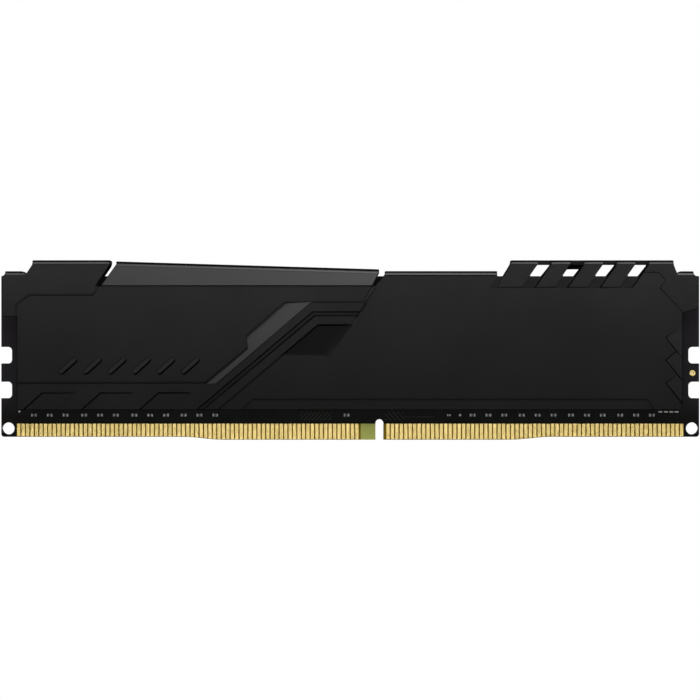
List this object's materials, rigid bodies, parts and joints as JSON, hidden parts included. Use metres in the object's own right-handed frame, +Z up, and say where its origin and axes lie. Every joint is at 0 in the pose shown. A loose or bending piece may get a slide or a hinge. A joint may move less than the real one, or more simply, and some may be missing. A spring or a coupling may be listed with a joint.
{
  "type": "ram module",
  "caption": "Desktop computer memory module: a circuit board with a notched gold contact edge, covered on both sides by stamped black metal heat spreaders.",
  "frame": {"origin": "centre of the lowest contact edge, on the board's mid-plane", "axes": "+X along the module toward the key notch's short contact group, +Z up from the contact edge, -Y out of the front heat spreader"},
  "size_m": [0.1334, 0.0072, 0.0342],
  "materials": {
    "pcb": "satin",
    "gold_contacts": "polished",
    "heat_spreader": "matte",
    "thermal_pad": "matte",
    "chip_plastic": "matte",
    "solder": "satin",
    "resistor_black": "satin",
    "capacitor_ceramic": "satin"
  },
  "bodies": {
    "root": {"pcb": "pcb", "contacts_front_left": "gold_contacts", "contacts_front_right": "gold_contacts", "contacts_rear_left": "gold_contacts", "contacts_rear_right": "gold_contacts", "heat_spreader_front": "heat_spreader", "heat_spreader_rear": "heat_spreader", "thermal_pad_front_left": "thermal_pad", "thermal_pad_front_right": "thermal_pad", "thermal_pad_rear_left": "thermal_pad", "thermal_pad_rear_right": "thermal_pad", "dram_chip_01": "chip_plastic", "dram_chip_02": "chip_plastic", "dram_chip_03": "chip_plastic", "dram_chip_04": "chip_plastic", "dram_chip_05": "chip_plastic", "dram_chip_06": "chip_plastic", "dram_chip_07": "chip_plastic", "dram_chip_08": "chip_plastic", "dram_chip_09": "chip_plastic", "dram_chip_10": "chip_plastic", "dram_chip_11": "chip_plastic", "dram_chip_12": "chip_plastic", "dram_chip_13": "chip_plastic", "dram_chip_14": "chip_plastic", "dram_chip_15": "chip_plastic", "dram_chip_16": "chip_plastic", "solder_joints_front": "solder", "solder_joints_rear": "solder", "spd_eeprom": "chip_plastic", "spd_eeprom_leads": "solder", "resistor_bodies_front": "resistor_black", "resistor_terminals_front": "solder", "resistor_bodies_rear": "resistor_black", "resistor_terminals_rear": "solder", "capacitor_bodies_front": "capacitor_ceramic", "capacitor_terminals_front": "solder", "capacitor_bodies_rear": "capacitor_ceramic", "capacitor_terminals_rear": "solder", "via_rings": "gold_contacts"}
  },
  "joints": []
}
